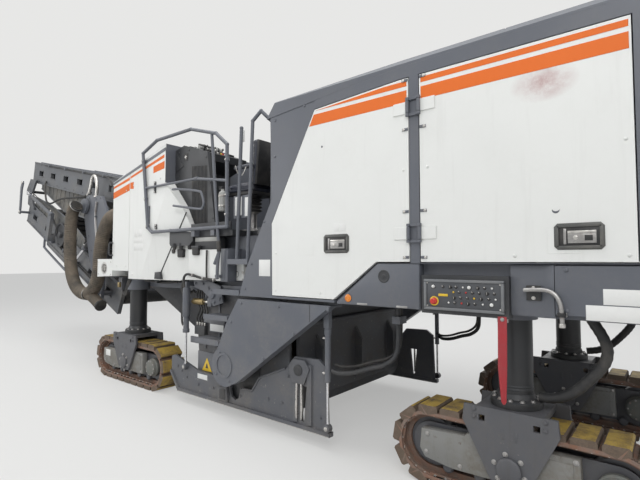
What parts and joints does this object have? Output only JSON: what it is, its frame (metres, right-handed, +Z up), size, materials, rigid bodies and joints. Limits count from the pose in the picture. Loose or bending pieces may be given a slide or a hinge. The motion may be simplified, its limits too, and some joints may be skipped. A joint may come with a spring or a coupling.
{
  "type": "cold planer milling machine",
  "caption": "Large crawler road milling machine with drum housing, hooded engine bay, open operator platform and a folded slewing front loading conveyor.",
  "frame": {"origin": "on the ground under the middle of the overall length, on the centre plane", "axes": "+X forward to the discharge conveyor, +Y to the machine's left side, +Z up"},
  "size_m": [12.1466, 2.588, 3.773],
  "materials": {
    "panel_white": "off-white gloss, dusty",
    "frame_grey": "blue-grey satin, worn",
    "dark_paint": "near-black satin",
    "bare_steel": "worn steel",
    "chrome_rod": "hard chrome",
    "rubber_black": "matt",
    "belt_rubber": "worn belt",
    "pad_polyurethane": "worn polyurethane pads on a dark chain"
  },
  "bodies": {
    "chassis": {"main_frame": "frame_grey", "drum_housing": "frame_grey", "belt_cover": "frame_grey", "hood_shell": "frame_grey", "hood_front": "frame_grey", "hood_roof": "frame_grey", "rear_grille": "frame_grey", "engine_block": "bare_steel", "front_body": "panel_white", "platform": "dark_paint", "operator_desks": "dark_paint", "seats": "rubber_black", "railings": "frame_grey", "ladders": "frame_grey", "control_boxes": "frame_grey", "side_panels": "panel_white", "primary_conveyor": "frame_grey", "slew_bracket": "frame_grey", "lashing_eyes": "dark_paint", "lamps": "bare_steel", "plate_cylinders": "frame_grey", "dust_hose_side": "rubber_black", "vent_box": "panel_white"},
    "leg_front_left": {"leg_front_left": "frame_grey"},
    "running_gear_front_left": {"carrier_front_left": "frame_grey", "track_front_left": "pad_polyurethane"},
    "leg_front_right": {"leg_front_right": "frame_grey"},
    "running_gear_front_right": {"carrier_front_right": "frame_grey", "track_front_right": "pad_polyurethane"},
    "leg_rear_left": {"leg_rear_left": "frame_grey"},
    "running_gear_rear_left": {"carrier_rear_left": "frame_grey", "track_rear_left": "pad_polyurethane"},
    "leg_rear_right": {"leg_rear_right": "frame_grey"},
    "running_gear_rear_right": {"carrier_rear_right": "frame_grey", "track_rear_right": "pad_polyurethane"},
    "drum": {"milling_drum": "bare_steel"},
    "plate_left": {"side_plate_left": "frame_grey"},
    "plate_right": {"side_plate_right": "frame_grey"},
    "scraper": {"scraper": "frame_grey"},
    "door_rear_left": {"door_rear_left": "panel_white"},
    "door_front_left": {"door_front_left": "panel_white"},
    "door_rear_right": {"door_rear_right": "panel_white"},
    "door_front_right": {"door_front_right": "panel_white"},
    "slew": {"slew_frame": "frame_grey", "dust_hose_front": "rubber_black"},
    "conveyor_inner": {"conveyor_inner": "panel_white", "belt_inner": "belt_rubber"},
    "conveyor_outer": {"conveyor_outer": "panel_white", "belt_outer": "belt_rubber"},
    "lift_barrels": {"lift_barrels": "dark_paint"},
    "lift_rods": {"lift_rods": "chrome_rod"},
    "fold_rods": {"fold_rods": "chrome_rod"}
  },
  "joints": [
    {"name": "lift_leg_front_left", "type": "slide", "parent": "chassis", "child": "leg_front_left", "axis": [0, 0, -1], "range_m": [-0.42, 0.08]},
    {"name": "steer_front_left", "type": "hinge", "parent": "leg_front_left", "child": "running_gear_front_left", "pos_m": [0.65, 0.95, 0.5], "axis": [0, 0, 1], "range_deg": [-20, 20]},
    {"name": "lift_leg_front_right", "type": "slide", "parent": "chassis", "child": "leg_front_right", "axis": [0, 0, -1], "range_m": [-0.42, 0.08]},
    {"name": "steer_front_right", "type": "hinge", "parent": "leg_front_right", "child": "running_gear_front_right", "pos_m": [0.65, -0.95, 0.5], "axis": [0, 0, 1], "range_deg": [-20, 20]},
    {"name": "lift_leg_rear_left", "type": "slide", "parent": "chassis", "child": "leg_rear_left", "axis": [0, 0, -1], "range_m": [-0.42, 0.08]},
    {"name": "steer_rear_left", "type": "hinge", "parent": "leg_rear_left", "child": "running_gear_rear_left", "pos_m": [-4.25, 0.95, 0.5], "axis": [0, 0, 1], "range_deg": [-20, 20]},
    {"name": "lift_leg_rear_right", "type": "slide", "parent": "chassis", "child": "leg_rear_right", "axis": [0, 0, -1], "range_m": [-0.42, 0.08]},
    {"name": "steer_rear_right", "type": "hinge", "parent": "leg_rear_right", "child": "running_gear_rear_right", "pos_m": [-4.25, -0.95, 0.5], "axis": [0, 0, 1], "range_deg": [-20, 20]},
    {"name": "drum_spin", "type": "hinge", "parent": "chassis", "child": "drum", "pos_m": [-1.535, 0, 0.61], "axis": [0, 1, 0], "continuous": true},
    {"name": "plate_lift_left", "type": "slide", "parent": "chassis", "child": "plate_left", "axis": [0, 0, 1], "range_m": [0, 0.3]},
    {"name": "plate_lift_right", "type": "slide", "parent": "chassis", "child": "plate_right", "axis": [0, 0, 1], "range_m": [0, 0.3]},
    {"name": "scraper_swing", "type": "hinge", "parent": "chassis", "child": "scraper", "pos_m": [-2.275, 0, 1.01], "axis": [0, 1, 0], "range_deg": [0, 70]},
    {"name": "door_rear_left_hinge", "type": "hinge", "parent": "chassis", "child": "door_rear_left", "pos_m": [-3.702, 1.266, 2.3], "axis": [0, 0, -1], "range_deg": [0, 90]},
    {"name": "door_front_left_hinge", "type": "hinge", "parent": "chassis", "child": "door_front_left", "pos_m": [-3.613, 1.266, 2.3], "axis": [0, 0, 1], "range_deg": [0, 90]},
    {"name": "door_rear_right_hinge", "type": "hinge", "parent": "chassis", "child": "door_rear_right", "pos_m": [-3.702, -1.266, 2.3], "axis": [0, 0, 1], "range_deg": [0, 90]},
    {"name": "door_front_right_hinge", "type": "hinge", "parent": "chassis", "child": "door_front_right", "pos_m": [-3.613, -1.266, 2.3], "axis": [0, 0, -1], "range_deg": [0, 90]},
    {"name": "conveyor_slew", "type": "hinge", "parent": "chassis", "child": "slew", "pos_m": [1.875, 0, 2.265], "axis": [0, 0, 1], "range_deg": [-60, 60], "deforming": ["dust_hose_front"]},
    {"name": "conveyor_lift", "type": "hinge", "parent": "slew", "child": "conveyor_inner", "pos_m": [2.175, 0, 1.1], "axis": [0, -1, 0], "range_deg": [-15, 5]},
    {"name": "conveyor_fold", "type": "hinge", "parent": "conveyor_inner", "child": "conveyor_outer", "pos_m": [5.8236, 0, 3.1371], "axis": [0, 1, 0], "range_deg": [0, 168.6]},
    {"name": "lift_barrel_swing", "type": "hinge", "parent": "slew", "child": "lift_barrels", "pos_m": [2.255, 0, 2.25], "axis": [0, -1, 0], "range_deg": [-9.5, 3.5]},
    {"name": "lift_rod_slide", "type": "slide", "parent": "lift_barrels", "child": "lift_rods", "axis": [0.8679, 0, -0.4967], "range_m": [-0.095, 0.27]},
    {"name": "fold_rod_slide", "type": "slide", "parent": "conveyor_inner", "child": "fold_rods", "axis": [0.9191, 0, 0.3939], "range_m": [0, 0.385]}
  ],
  "couplings": [
    {"joint": "lift_barrel_swing", "follows": "conveyor_lift", "ratio": 0.595},
    {"joint": "lift_rod_slide", "follows": "conveyor_lift", "m_per_rad": -1},
    {"joint": "fold_rod_slide", "follows": "conveyor_fold", "m_per_rad": 0.1291}
  ]
}
